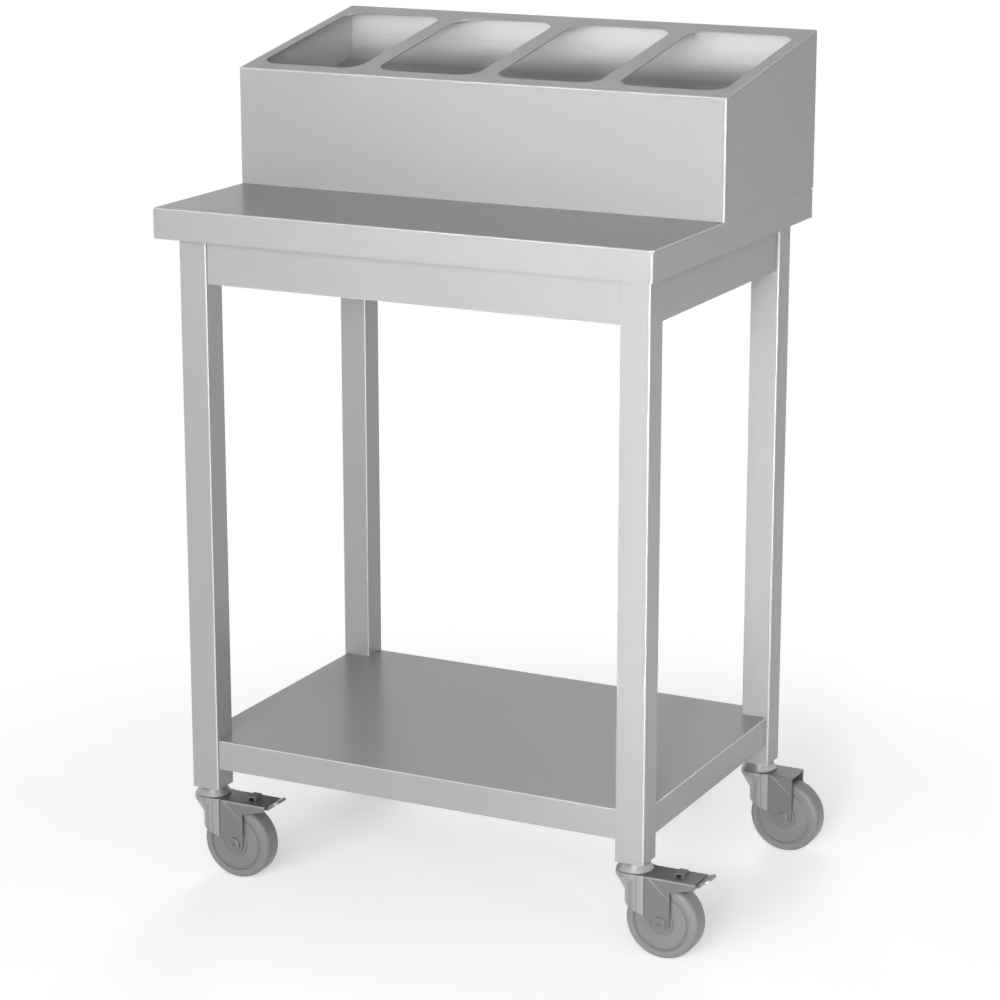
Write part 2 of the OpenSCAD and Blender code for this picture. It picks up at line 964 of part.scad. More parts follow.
at_leg(1, -1) axle_bolt();  // axle_bolt_front_right
at_leg(-1, 1) axle_bolt();  // axle_bolt_rear_left
at_leg(1, 1) axle_bolt();  // axle_bolt_rear_right
at_leg(-1, -1) axle_nut();  // axle_nut_front_left
at_leg(1, -1) axle_nut();  // axle_nut_front_right
at_leg(-1, 1) axle_nut();  // axle_nut_rear_left
at_leg(1, 1) axle_nut();  // axle_nut_rear_right
at_leg(-1, -1) axle_sleeve();  // axle_sleeve_front_left
at_leg(1, -1) axle_sleeve();  // axle_sleeve_front_right
at_leg(-1, 1) axle_sleeve();  // axle_sleeve_rear_left
at_leg(1, 1) axle_sleeve();  // axle_sleeve_rear_right
at_leg(-1, -1) wheel_core();  // wheel_core_front_left
at_leg(1, -1) wheel_core();  // wheel_core_front_right
at_leg(-1, 1) wheel_core();  // wheel_core_rear_left
at_leg(1, 1) wheel_core();  // wheel_core_rear_right
at_leg(-1, -1) tyre();  // tyre_front_left
at_leg(1, -1) tyre();  // tyre_front_right
at_leg(-1, 1) tyre();  // tyre_rear_left
at_leg(1, 1) tyre();  // tyre_rear_right
at_leg(-1, -1) brake_pedal();  // brake_pedal_front_left
at_leg(1, -1) brake_pedal();  // brake_pedal_front_right
at_leg(-1, -1) brake_pin();  // brake_pin_front_left
at_leg(1, -1) brake_pin();  // brake_pin_front_right
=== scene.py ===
"""Looks of the cutlery trolley: finishes, wheels, swivel balls, screws and the studio it stands in.

Laid out as an add-on and run as a script. Lengths are metres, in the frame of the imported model:
+X to the right, +Y to the back of the housing, +Z up, with the floor at Z 0.
"""

import json
import math

import bmesh
import bpy
from bpy.props import FloatProperty, FloatVectorProperty, IntProperty, PointerProperty
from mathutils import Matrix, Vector


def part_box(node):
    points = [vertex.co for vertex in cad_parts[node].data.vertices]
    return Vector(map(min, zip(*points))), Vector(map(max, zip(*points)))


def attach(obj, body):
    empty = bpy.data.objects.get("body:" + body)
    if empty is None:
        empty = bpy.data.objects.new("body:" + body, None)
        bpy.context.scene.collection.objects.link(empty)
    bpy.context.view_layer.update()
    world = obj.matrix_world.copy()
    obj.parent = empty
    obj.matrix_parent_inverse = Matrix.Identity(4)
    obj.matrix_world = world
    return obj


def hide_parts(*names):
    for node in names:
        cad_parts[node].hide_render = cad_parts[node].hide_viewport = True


bl_info = {
    "name": "Cutlery trolley looks",
    "version": (1, 0, 0),
    "blender": (4, 5, 0),
    "location": "View3D > Sidebar > Trolley",
    "description": "Finishes and small pieces of a stainless cutlery trolley, with its studio",
    "category": "Object",
}

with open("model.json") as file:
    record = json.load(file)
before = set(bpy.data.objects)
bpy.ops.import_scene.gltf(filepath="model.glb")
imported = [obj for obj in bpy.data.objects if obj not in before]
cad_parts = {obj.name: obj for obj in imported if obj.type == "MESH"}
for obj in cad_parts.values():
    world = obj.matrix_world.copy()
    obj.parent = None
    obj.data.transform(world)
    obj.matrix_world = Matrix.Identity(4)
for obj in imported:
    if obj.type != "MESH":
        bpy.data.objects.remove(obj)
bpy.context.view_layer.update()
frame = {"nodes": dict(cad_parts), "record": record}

CORNERS = {"front_left": (-1, -1), "front_right": (1, -1), "rear_left": (-1, 1), "rear_right": (1, 1)}
MM = 0.001

# Swivel axes, from the middle of the trolley
LEG_X = 0.313
LEG_Y = 0.211

# Sides of a turned wheel, and of a turned screw and a nut
WHEEL_SEGMENTS = 128
SCREW_SEGMENTS = 32
NUT_SIDES = 6

# Grain of a finish: the small number stretches the streaks along its axis
GRAIN_X = (0.03, 1.0, 1.0)
GRAIN_Y = (1.0, 0.03, 1.0)
GRAIN_Z = (1.0, 1.0, 0.03)
NO_GRAIN = (1.0, 1.0, 1.0)

# Sockets of a colour Mix node, by number because their names are not unique
MIX_FIRST = 6
MIX_SECOND = 7
MIX_RESULT = 2

# Share of the sheet's fold polish and painted fold highlight that the zinc-plated pieces have
ZINC_POLISH_AND_HIGHLIGHT = 0.4

# Height of a finish's relief, and roughness of the clearer reflection over satin steel
RELIEF_HEIGHT = 0.2 * MM
COAT_ROUGHNESS = 0.08

# Screws that hold the housing down, in millimetres
FRONT_SCREWS_X = (-231, -77, 77, 231)
FRONT_SCREWS_Y = -35.5
SIDE_SCREWS_X = (-342, 342)
SIDE_SCREWS_Y = (45.965, 172.45)
SCREW_SEAT_Z = 918.5
NUT_TOP_Z = 915.5

# Camera, at the photograph's place
CAMERA_PLACE = (1.824, -3.631, 1.582)
CAMERA_TILT = 75.19
CAMERA_TURN = 26.47


# Settings that a user would change

class FinishSettings(bpy.types.PropertyGroup):
    """Colours and surface of the finishes"""

    steel_colour: FloatVectorProperty(
        name="Stainless sheet", description="Colour of the satin stainless sheet",
        subtype="COLOR", size=3, min=0.0, max=1.0, default=(0.365, 0.365, 0.366))
    tube_colour: FloatVectorProperty(
        name="Stainless tube", description="Colour of the square leg tube",
        subtype="COLOR", size=3, min=0.0, max=1.0, default=(0.365, 0.365, 0.366))
    # The inner low and high colours paint shade: dark low in the tray and pale high in the housing.
    inner_shaded_low: FloatVectorProperty(
        name="Inner sheet, low", description="Colour of the dull sheet at the bottom of the tray",
        subtype="COLOR", size=3, min=0.0, max=1.0, default=(0.36, 0.36, 0.36))
    inner_lit_high: FloatVectorProperty(
        name="Inner sheet, high", description="Colour of the dull sheet high in the housing",
        subtype="COLOR", size=3, min=0.0, max=1.0, default=(0.56, 0.56, 0.56))
    # Paler than the sheet, to paint light into the shaded end walls inside the housing.
    inner_wall_painted_light: FloatVectorProperty(
        name="Inner end walls", description="Colour of the dull sheet inside the housing's ends",
        subtype="COLOR", size=3, min=0.0, max=1.0, default=(0.6, 0.6, 0.6))
    zinc_colour: FloatVectorProperty(
        name="Zinc plate", description="Colour of the plated forks, cups and bolts",
        subtype="COLOR", size=3, min=0.0, max=1.0, default=(0.205, 0.201, 0.199))
    wheel_colour: FloatVectorProperty(
        name="Wheel plastic", description="Colour of the wheel disc",
        subtype="COLOR", size=3, min=0.0, max=1.0, default=(0.205, 0.203, 0.201))
    tyre_colour: FloatVectorProperty(
        name="Tyre rubber", description="Colour of the grey rubber tyre",
        subtype="COLOR", size=3, min=0.0, max=1.0, default=(0.215, 0.213, 0.211))
    steel_roughness: FloatProperty(
        name="Steel roughness", description="Mean roughness of the satin sheet",
        subtype="FACTOR", min=0.05, max=1.0, default=0.3)
    steel_gloss: FloatProperty(
        name="Steel gloss", description="Weight of the clearer reflection over the satin one",
        subtype="FACTOR", min=0.0, max=1.0, default=0.06)
    steel_metal: FloatProperty(
        name="Steel metallic share", description="Share of the light that satin sheet mirrors as metal",
        subtype="FACTOR", min=0.0, max=1.0, default=0.15)
    # The fold polish is partly real, smoother and more metallic, and partly a painted highlight that
    # whitens the folds.
    polish_and_highlight: FloatProperty(
        name="Bend polish", description="How much the folds of the sheet are rubbed bright",
        subtype="FACTOR", min=0.0, max=1.0, default=0.6)
    # Gain of the painted highlight on the fork's curved nose
    nose_highlight_gain: FloatProperty(
        name="Nose lift", description="How many times brighter the fork's nose is than its legs",
        min=1.0, max=3.0, default=1.75)
    grazing: FloatProperty(
        name="Grazing reflection", description="Strength of the reflection at a shallow angle",
        subtype="FACTOR", min=0.0, max=1.0, default=0.25)
    grain_depth: FloatProperty(
        name="Grain depth", description="Strength of the ground grain's relief",
        subtype="FACTOR", min=0.0, max=1.0, default=0.12)


class PieceSettings(bpy.types.PropertyGroup):
    """Sizes of the pieces that are built here"""

    wheel_radius: FloatProperty(
        name="Wheel radius", description="Radius of the tread",
        unit="LENGTH", subtype="DISTANCE", default=50 * MM)
    tyre_half: FloatProperty(
        name="Tyre half width", description="Half the width of the tyre",
        unit="LENGTH", subtype="DISTANCE", default=15.75 * MM)
    rim_radius: FloatProperty(
        name="Rim radius", description="Radius where the tyre meets the disc",
        unit="LENGTH", subtype="DISTANCE", default=38.5 * MM)
    shoulder: FloatProperty(
        name="Tyre shoulder", description="Radius of the tread's rounded shoulders",
        unit="LENGTH", subtype="DISTANCE", default=7 * MM)
    tyre_lip: FloatProperty(
        name="Tyre lip", description="Rounding of the tyre where it meets the disc",
        unit="LENGTH", subtype="DISTANCE", default=0.6 * MM)
    bore_radius: FloatProperty(
        name="Bore radius", description="Radius of the bore that the axle sleeve fills",
        unit="LENGTH", subtype="DISTANCE", default=6.55 * MM)
    hub_radius: FloatProperty(
        name="Hub radius", description="Radius of the raised hub",
        unit="LENGTH", subtype="DISTANCE", default=17 * MM)
    hub_half: FloatProperty(
        name="Hub half width", description="Half the width of the hub",
        unit="LENGTH", subtype="DISTANCE", default=17.9 * MM)
    disc_half: FloatProperty(
        name="Disc half width", description="Half the width of the disc between hub and rim",
        unit="LENGTH", subtype="DISTANCE", default=14.6 * MM)
    groove_inset: FloatProperty(
        name="Groove inset", description="Distance from the rim to the ring groove",
        unit="LENGTH", subtype="DISTANCE", default=1.2 * MM)
    groove_width: FloatProperty(
        name="Groove width", description="Width of the ring groove",
        unit="LENGTH", subtype="DISTANCE", default=3 * MM)
    groove_depth: FloatProperty(
        name="Groove depth", description="Depth of the ring groove",
        unit="LENGTH", subtype="DISTANCE", default=1.6 * MM)
    trail: FloatProperty(
        name="Trail", description="Distance from the swivel axis to the axle",
        unit="LENGTH", subtype="DISTANCE", default=43.5 * MM)
    ball_radius: FloatProperty(
        name="Ball radius", description="Radius of a swivel ball",
        unit="LENGTH", subtype="DISTANCE", default=2.5 * MM)
    ball_ring: FloatProperty(
        name="Ball ring radius", description="Radius of the rings that the balls run in",
        unit="LENGTH", subtype="DISTANCE", default=15 * MM)
    ball_count: IntProperty(
        name="Balls in a row", description="Number of balls in one row",
        min=3, max=24, default=12)


class StageSettings(bpy.types.PropertyGroup):
    """Floor, light and camera"""

    floor_colour: FloatVectorProperty(
        name="Floor", description="Colour of the studio floor",
        subtype="COLOR", size=3, min=0.0, max=1.0, default=(0.93, 0.93, 0.93))
    fill: FloatProperty(
        name="Fill light", description="Strength of the world as a light",
        subtype="FACTOR", min=0.0, max=1.0, default=0.22)
    fade_start: FloatProperty(
        name="Fade start", description="Distance from the middle at which the floor starts to turn white",
        unit="LENGTH", subtype="DISTANCE", default=0.5)
    fade_end: FloatProperty(
        name="Fade end", description="Distance from the middle at which the floor is white",
        unit="LENGTH", subtype="DISTANCE", default=1.2)
    floor_lift: FloatProperty(
        name="Floor lift", description="White that the camera and reflections see on top of the lit floor",
        subtype="FACTOR", min=0.0, max=1.0, default=0.38)
    key_power: FloatProperty(
        name="Front lamp", description="Power of the wide lamp in front",
        unit="POWER", min=0.0, default=266.0)
    lens: FloatProperty(
        name="Lens", description="Focal length of the camera",
        min=20.0, max=300.0, default=112.9)


def finish_settings():
    """Colours and surfaces that the user has set."""
    return bpy.context.scene.trolley_finish


def piece_settings():
    """Sizes that the user has set."""
    return bpy.context.scene.trolley_pieces


def stage_settings():
    """Floor, light and camera values that the user has set."""
    return bpy.context.scene.trolley_stage


# Node groups shared by the finishes

def new_group(name, inputs, outputs):
    """Empty shader group with float or colour sockets; inputs and outputs are (name, kind, default)."""
    group = bpy.data.node_groups.new(name, "ShaderNodeTree")
    for label, kind, default in inputs:
        socket = group.interface.new_socket(label, in_out="INPUT", socket_type=kind)
        socket.default_value = default
    for label, kind in outputs:
        group.interface.new_socket(label, in_out="OUTPUT", socket_type=kind)
    return group


def add(tree, kind, **values):
    """New node, with its properties or numbered inputs set."""
    node = tree.nodes.new(kind)
    for key, value in values.items():
        if key.startswith("in_"):
            node.inputs[key[3:].replace("_", " ")].default_value = value
        else:
            setattr(node, key, value)
    return node


def maths(tree, operation, *terms, clamp=False):
    """Math node; its terms are sockets or numbers. Returns its output."""
    node = add(tree, "ShaderNodeMath", operation=operation, use_clamp=clamp)
    for index, value in enumerate(terms):
        if isinstance(value, (int, float)):
            node.inputs[index].default_value = value
        else:
            tree.links.new(value, node.inputs[index])
    return node.outputs[0]


def mixed_colour(tree, factor, first, second, **values):
    """Colour Mix node; first and second are sockets or colours. Returns its output."""
    node = add(tree, "ShaderNodeMix", data_type="RGBA", **values)
    tree.links.new(factor, node.inputs["Factor"])
    for index, value in ((MIX_FIRST, first), (MIX_SECOND, second)):
        if isinstance(value, bpy.types.NodeSocket):
            tree.links.new(value, node.inputs[index])
        else:
            node.inputs[index].default_value = (*value, 1.0)
    return node.outputs[MIX_RESULT]


def eased(tree, value, low, high):
    """None at low, one at high and an even curve between; low may be the greater of the two."""
    node = add(tree, "ShaderNodeMapRange", interpolation_type="SMOOTHSTEP")
    node.inputs["From Min"].default_value = low
    node.inputs["From Max"].default_value = high
    tree.links.new(value, node.inputs["Value"])
    return node.outputs["Result"]


def grain_group():
    """Ground grain: fine streaks along one axis, broken up by slow clouds."""
    group = new_group(
        "ground_grain",
        [("Stretch", "NodeSocketVector", (1.0, 1.0, 1.0)), ("Fineness", "NodeSocketFloat", 900.0)],
        [("Streaks", "NodeSocketFloat"), ("Clouds", "NodeSocketFloat")])
    start = group.nodes.new("NodeGroupInput")
    end = group.nodes.new("NodeGroupOutput")
    place = group.nodes.new("ShaderNodeTexCoord")
    stretch = add(group, "ShaderNodeVectorMath", operation="MULTIPLY")
    group.links.new(place.outputs["Object"], stretch.inputs[0])
    group.links.new(start.outputs["Stretch"], stretch.inputs[1])
    fine = add(group, "ShaderNodeTexNoise", in_Detail=3.0, in_Roughness=0.65)
    group.links.new(stretch.outputs[0], fine.inputs["Vector"])
    group.links.new(start.outputs["Fineness"], fine.inputs["Scale"])
    slow = add(group, "ShaderNodeTexNoise", in_Scale=7.0, in_Detail=4.0, in_Roughness=0.55)
    group.links.new(place.outputs["Object"], slow.inputs["Vector"])
    group.links.new(fine.outputs["Fac"], end.inputs["Streaks"])
    group.links.new(slow.outputs["Fac"], end.inputs["Clouds"])
    return group


def shade_group():
    """Mixes a base colour a little lighter and darker by two masks."""
    group = new_group(
        "colour_drift",
        [("Colour", "NodeSocketColor", (0.5, 0.5, 0.5, 1.0)), ("Streaks", "NodeSocketFloat", 0.5),
         ("Clouds", "NodeSocketFloat", 0.5), ("Drift", "NodeSocketFloat", 0.06)],
        [("Colour", "NodeSocketColor")])
    start = group.nodes.new("NodeGroupInput")
    end = group.nodes.new("NodeGroupOutput")
    both = maths(group, "ADD", start.outputs["Streaks"], start.outputs["Clouds"])
    centred = maths(group, "SUBTRACT", both, 1.0)
    swing = maths(group, "MULTIPLY", centred, start.outputs["Drift"])
    level = maths(group, "ADD", swing, 1.0)
    scale = add(group, "ShaderNodeVectorMath", operation="SCALE")
    group.links.new(start.outputs["Colour"], scale.inputs[0])
    group.links.new(level, scale.inputs["Scale"])
    group.links.new(scale.outputs[0], end.inputs["Colour"])
    return group


def fold_polish_highlight_group():
    """Mask of the folds' polish and painted highlight: one where the surface turns between two flat sides,
    and none on the flats.
    """
    group = new_group(
        "fold_polish_and_highlight", [("Amount", "NodeSocketFloat", 1.0)], [("Mask", "NodeSocketFloat")])
    start = group.nodes.new("NodeGroupInput")
    end = group.nodes.new("NodeGroupOutput")
    place = group.nodes.new("ShaderNodeTexCoord")
    size = add(group, "ShaderNodeVectorMath", operation="ABSOLUTE")
    parts = group.nodes.new("ShaderNodeSeparateXYZ")
    group.links.new(place.outputs["Normal"], size.inputs[0])
    group.links.new(size.outputs[0], parts.inputs[0])
    most = maths(group, "MAXIMUM", maths(group, "MAXIMUM", parts.outputs["X"], parts.outputs["Y"]),
                 parts.outputs["Z"])
    flat = 0.97
    turned = 0.80
    fold = eased(group, most, flat, turned)
    group.links.new(maths(group, "MULTIPLY", fold, start.outputs["Amount"]), end.inputs["Mask"])
    return group


def nose_highlight_group():
    """Mask of the painted highlight on a fork's curved nose: one there, in the piece's own axes, and none
    on its flat sides.

    The nose points to -X. Each pair of numbers is where a part of the mask starts and ends, as a share
    of the surface's normal along one axis.
    """
    group = new_group("nose_painted_highlight", [], [("Mask", "NodeSocketFloat")])
    end = group.nodes.new("NodeGroupOutput")
    place = group.nodes.new("ShaderNodeTexCoord")
    parts = group.nodes.new("ShaderNodeSeparateXYZ")
    group.links.new(place.outputs["Normal"], parts.inputs[0])
    sideways = maths(group, "ABSOLUTE", parts.outputs["X"])
    curved = eased(group, sideways, 0.0, 0.04)
    beside_tip = eased(group, parts.outputs["X"], -0.6, -0.1)
    before_back = eased(group, parts.outputs["X"], 0.8, 0.5)
    upright = eased(group, maths(group, "ABSOLUTE", parts.outputs["Z"]), 0.6, 0.3)
    both = maths(group, "MULTIPLY", maths(group, "MULTIPLY", curved, beside_tip), before_back)
    group.links.new(maths(group, "MULTIPLY", both, upright), end.inputs["Mask"])
    return group


def shared_group(name, make):
    """The named shader group, made the first time that it is asked for."""
    return bpy.data.node_groups.get(name) or make()


def finish_material(name, colour, roughness, swing, metallic, stretch, fineness, relief, drift, coat=0.0,
                    grazing=1.0):
    """Procedural finish: streaked and clouded colour and roughness, and a shallow relief.

    The roughness goes up and down by the swing, the colour by the drift, and relief is the strength of
    the bump. The coat is a clearer reflection over the main one, and grazing dims it at shallow angles.
    """
    made = bpy.data.materials.get(name)
    if made:
        return made
    made = bpy.data.materials.new(name)
    made.use_nodes = True
    tree = made.node_tree
    tree.nodes.clear()
    out = tree.nodes.new("ShaderNodeOutputMaterial")
    shader = tree.nodes.new("ShaderNodeBsdfPrincipled")
    shader.inputs["Metallic"].default_value = metallic
    shader.inputs["Coat Weight"].default_value = coat
    shader.inputs["Coat Roughness"].default_value = COAT_ROUGHNESS
    shader.inputs["Specular Tint"].default_value = (grazing, grazing, grazing, 1.0)
    grain = add(tree, "ShaderNodeGroup", node_tree=shared_group("ground_grain", grain_group))
    grain.inputs["Stretch"].default_value = stretch
    grain.inputs["Fineness"].default_value = fineness
    shade = add(tree, "ShaderNodeGroup", node_tree=shared_group("colour_drift", shade_group))
    shade.inputs["Colour"].default_value = (*colour, 1.0)
    shade.inputs["Drift"].default_value = drift
    tree.links.new(grain.outputs["Streaks"], shade.inputs["Streaks"])
    tree.links.new(grain.outputs["Clouds"], shade.inputs["Clouds"])
    tree.links.new(shade.outputs["Colour"], shader.inputs["Base Color"])
    streaks = maths(tree, "MULTIPLY_ADD", grain.outputs["Streaks"], swing, roughness - swing)
    clouds = maths(tree, "MULTIPLY", grain.outputs["Clouds"], swing)
    rough = maths(tree, "ADD", streaks, clouds, clamp=True)
    tree.links.new(rough, shader.inputs["Roughness"])
    bump = add(tree, "ShaderNodeBump", in_Strength=relief, in_Distance=RELIEF_HEIGHT)
    tree.links.new(grain.outputs["Streaks"], bump.inputs["Height"])
    tree.links.new(bump.outputs["Normal"], shader.inputs["Normal"])
    tree.links.new(shader.outputs["BSDF"], out.inputs["Surface"])
    return made


def main_shader(made):
    """The Principled node of a finish."""
    return next(node for node in made.node_tree.nodes if node.type == "BSDF_PRINCIPLED")


def source_of(socket):
    """The output that feeds a linked socket."""
    return socket.links[0].from_socket


def polish_and_highlight_folds(made, amount):
    """Adds smoother and more metallic folds to a finish, and a painted highlight that whitens their colour.
    """
    tree = made.node_tree
    if "fold_mask" in tree.nodes or amount <= 0:
        return made
    shader = main_shader(made)
    polish_and_highlight = shared_group("fold_polish_and_highlight", fold_polish_highlight_group)
    group = add(tree, "ShaderNodeGroup", node_tree=polish_and_highlight, name="fold_mask")
    group.inputs["Amount"].default_value = amount
    mask = group.outputs["Mask"]
    # Near-white colour of the painted highlight on the folds
    highlight_white = (0.95, 0.95, 0.95)
    smoothing = -0.12
    more_metal = 0.5
    bright = mixed_colour(tree, mask, source_of(shader.inputs["Base Color"]), highlight_white)
    tree.links.new(bright, shader.inputs["Base Color"])
    smoother = maths(tree, "MULTIPLY", mask, smoothing)
    rough = maths(tree, "ADD", source_of(shader.inputs["Roughness"]), smoother, clamp=True)
    tree.links.new(rough, shader.inputs["Roughness"])
    plain = shader.inputs["Metallic"].default_value
    metal = maths(tree, "MULTIPLY", mask, more_metal)
    tree.links.new(maths(tree, "ADD", metal, plain, clamp=True), shader.inputs["Metallic"])
    return made


def satin_steel(name, colour, stretch):
    """Satin stainless steel whose folds are polished and carry a painted highlight; the grain runs along
    the axis that the stretch squeezes.
    """
    finish = finish_settings()
    made = finish_material(name, colour, roughness=finish.steel_roughness, swing=0.06,
                           metallic=finish.steel_metal, stretch=stretch, fineness=900.0,
                           relief=finish.grain_depth, drift=0.05, coat=finish.steel_gloss,
                           grazing=finish.grazing)
    return polish_and_highlight_folds(made, finish.polish_and_highlight)


def sheet_steel():
    """Satin stainless sheet, ground along X."""
    return satin_steel("satin_steel_sheet", finish_settings().steel_colour, GRAIN_X)


def side_steel():
    """Satin stainless sheet, ground along Y."""
    return satin_steel("satin_steel_side", finish_settings().steel_colour, GRAIN_Y)


def tube_steel():
    """Satin stainless tube, ground along Z."""
    return satin_steel("satin_steel_tube", finish_settings().tube_colour, GRAIN_Z)


def mill_steel(name, colour, stretch):
    """Dull mill finish, as the sheet has inside the housing."""
    return finish_material(name, colour, roughness=0.5, swing=0.06, metallic=0.05, stretch=stretch,
                           fineness=700.0, relief=finish_settings().grain_depth, drift=0.06)


def shaded_inner_steel():
    """Mill finish of the tray and the rear wall, with painted shade: dark low in the tray and paler towards
    the housing's sloping top.
    """
    finish = finish_settings()
    made = mill_steel("mill_steel_inner_painted_shade", finish.inner_shaded_low, GRAIN_X)
    tree = made.node_tree
    if "height_mix" in tree.nodes:
        return made
    # Painted shade: the colour runs from dark low in the tray to pale high up
    top_slope = 0.1734
    dark_height = 1.012
    pale_height = 1.060
    place = tree.nodes.new("ShaderNodeTexCoord")
    parts = tree.nodes.new("ShaderNodeSeparateXYZ")
    tree.links.new(place.outputs["Object"], parts.inputs[0])
    rise = maths(tree, "MULTIPLY", parts.outputs["Y"], top_slope)
    height = maths(tree, "SUBTRACT", parts.outputs["Z"], rise)
    ramp = eased(tree, height, dark_height, pale_height)
    mix = mixed_colour(tree, ramp, finish.inner_shaded_low, finish.inner_lit_high, name="height_mix")
    shade = next(node for node in tree.nodes if node.type == "GROUP" and "Colour" in node.inputs)
    tree.links.new(mix, shade.inputs["Colour"])
    return made


def lit_inner_wall_steel():
    """Mill finish on the inside of the housing's end walls, in a paler colour that paints light into their
    shade.
    """
    return mill_steel("mill_steel_wall_painted_light", finish_settings().inner_wall_painted_light, GRAIN_Y)


def zinc_finish(name):
    """Zinc plate with a fine mottle."""
    return finish_material(name, finish_settings().zinc_colour, roughness=0.38, swing=0.08, metallic=0.55,
                           stretch=NO_GRAIN, fineness=350.0, relief=0.08, drift=0.10)


def zinc_plate():
    """Zinc plate whose folds are polished and carry a painted highlight."""
    return polish_and_highlight_folds(zinc_finish("zinc_plate"), ZINC_POLISH_AND_HIGHLIGHT * finish_settings().polish_and_highlight)


def zinc_fork_nose_highlight():
    """The same plate on a swivel fork, with a painted highlight that brightens its curved nose."""
    finish = finish_settings()
    made = zinc_finish("zinc_fork_nose_highlight")
    tree = made.node_tree
    if "nose_mask" in tree.nodes:
        return made
    shader = main_shader(made)
    nose_highlight_tree = shared_group("nose_painted_highlight", nose_highlight_group)
    group = add(tree, "ShaderNodeGroup", node_tree=nose_highlight_tree, name="nose_mask")
    # Painted highlight: the nose's colour is multiplied up by the gain
    bright = mixed_colour(tree, group.outputs["Mask"], source_of(shader.inputs["Base Color"]),
                          3 * (finish.nose_highlight_gain,), blend_type="MULTIPLY")
    tree.links.new(bright, shader.inputs["Base Color"])
    return polish_and_highlight_folds(made, ZINC_POLISH_AND_HIGHLIGHT * finish.polish_and_highlight)


def wheel_plastic():
    """Matt plastic of the wheel disc with a faint mould texture."""
    return finish_material("moulded_wheel", finish_settings().wheel_colour, roughness=0.48, swing=0.08,
                           metallic=0.0, stretch=NO_GRAIN, fineness=1400.0, relief=0.15, drift=0.06)


def tyre_rubber():
    """Smooth grey rubber, a little dusty."""
    return finish_material("grey_rubber", finish_settings().tyre_colour, roughness=0.36, swing=0.10,
                           metallic=0.0, stretch=NO_GRAIN, fineness=500.0, relief=0.10, drift=0.10)


# Mesh helpers

def mesh_object(name, bm, material, slot, body, *nodes):
    """Finished piece from a bmesh: smooth-shaded, with one material, riding on its body; the slot is not
    used.
    """
    bmesh.ops.remove_doubles(bm, verts=bm.verts, dist=1e-7)
    bmesh.ops.recalc_face_normals(bm, faces=bm.faces)
    mesh = bpy.data.meshes.new(name)
    bm.to_mesh(mesh)
    bm.free()
    mesh.materials.append(material)
    mesh.shade_smooth()
    piece = bpy.data.objects.new(name, mesh)
    bpy.context.scene.collection.objects.link(piece)
    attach(piece, body)
    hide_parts(*nodes)
    return piece


def mark_sharp(bm, degrees):
    """Marks edges that turn more than the given angle as sharp."""
    limit = math.radians(degrees)
    for edge in bm.edges:
        if len(edge.link_faces) == 2:
            edge.smooth = edge.calc_face_angle(0.0) < limit


def rounded(points, radii, steps):
    """Outline with its corners rounded; points are (r, a), radii the corner radii in order."""
    made = []
    count = len(points)
    for index, (point, radius) in enumerate(zip(points, radii)):
        here = Vector(point)
        if radius <= 0:
            made.append(here)
            continue
        back = (Vector(points[index - 1]) - here).normalized()
        ahead = (Vector(points[(index + 1) % count]) - here).normalized()
        half = back.angle(ahead) / 2
        reach = radius / math.tan(half)
        centre = here + (back + ahead).normalized() * (radius / math.sin(half))
        start = here + back * reach - centre
        end = here + ahead * reach - centre
        for step in range(steps + 1):
            turn = start.lerp(end, step / steps).normalized() * radius
            made.append(centre + turn)
    return made


def lathe(outline, centre, segments, upright=False):
    """Closed ring about an axis through centre, along Y or upright; the outline's points are (r, a)."""
    bm = bmesh.new()
    rings = []
    for step in range(segments):
        angle = 2 * math.pi * step / segments
        ring = []
        for r, a in outline:
            across, over = r * math.cos(angle), r * math.sin(angle)
            spot = Vector((across, over, a)) if upright else Vector((across, a, over))
            ring.append(bm.verts.new(centre + spot))
        rings.append(ring)
    count = len(outline)
    for step in range(segments):
        here, there = rings[step], rings[(step + 1) % segments]
        for index in range(count):
            after = (index + 1) % count
            bm.faces.new((here[index], here[after], there[after], there[index]))
    return bm


def body_of(node):
    """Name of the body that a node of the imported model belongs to."""
    for body, members in frame["record"]["behaviour"]["bodies"].items():
        if node in members:
            return body
    raise RuntimeError("no body holds " + node)


def axle_centre(corner):
    """Middle of a wheel at rest, with the caster trailing to the right."""
    sx, sy = CORNERS[corner]
    pieces = piece_settings()
    return Vector((sx * LEG_X + pieces.trail, sy * LEG_Y, pieces.wheel_radius))


# Geometry Nodes for what repeats

def node_tree(name, inputs):
    """Empty Geometry Nodes tree with a geometry in and out; inputs are (name, kind)."""
    tree = bpy.data.node_groups.new(name, "GeometryNodeTree")
    tree.is_modifier = True
    tree.interface.new_socket("Geometry", in_out="INPUT", socket_type="NodeSocketGeometry")
    for label, kind in inputs:
        tree.interface.new_socket(label, in_out="INPUT", socket_type=kind)
    tree.interface.new_socket("Geometry", in_out="OUTPUT", socket_type="NodeSocketGeometry")
    return tree, tree.nodes.new("NodeGroupInput"), tree.nodes.new("NodeGroupOutput")


def close_tree(tree, start, end, geometry):
    """Ends a tree in Realize Instances and Set Material."""
    smooth = tree.nodes.new("GeometryNodeSetShadeSmooth")
    real = tree.nodes.new("GeometryNodeRealizeInstances")
    paint = tree.nodes.new("GeometryNodeSetMaterial")
    tree.links.new(geometry, smooth.inputs["Geometry"])
    tree.links.new(smooth.outputs[0], real.inputs[0])
    tree.links.new(real.outputs[0], paint.inputs["Geometry"])
    tree.links.new(start.outputs["Material"], paint.inputs["Material"])
    tree.links.new(paint.outputs[0], end.inputs[0])


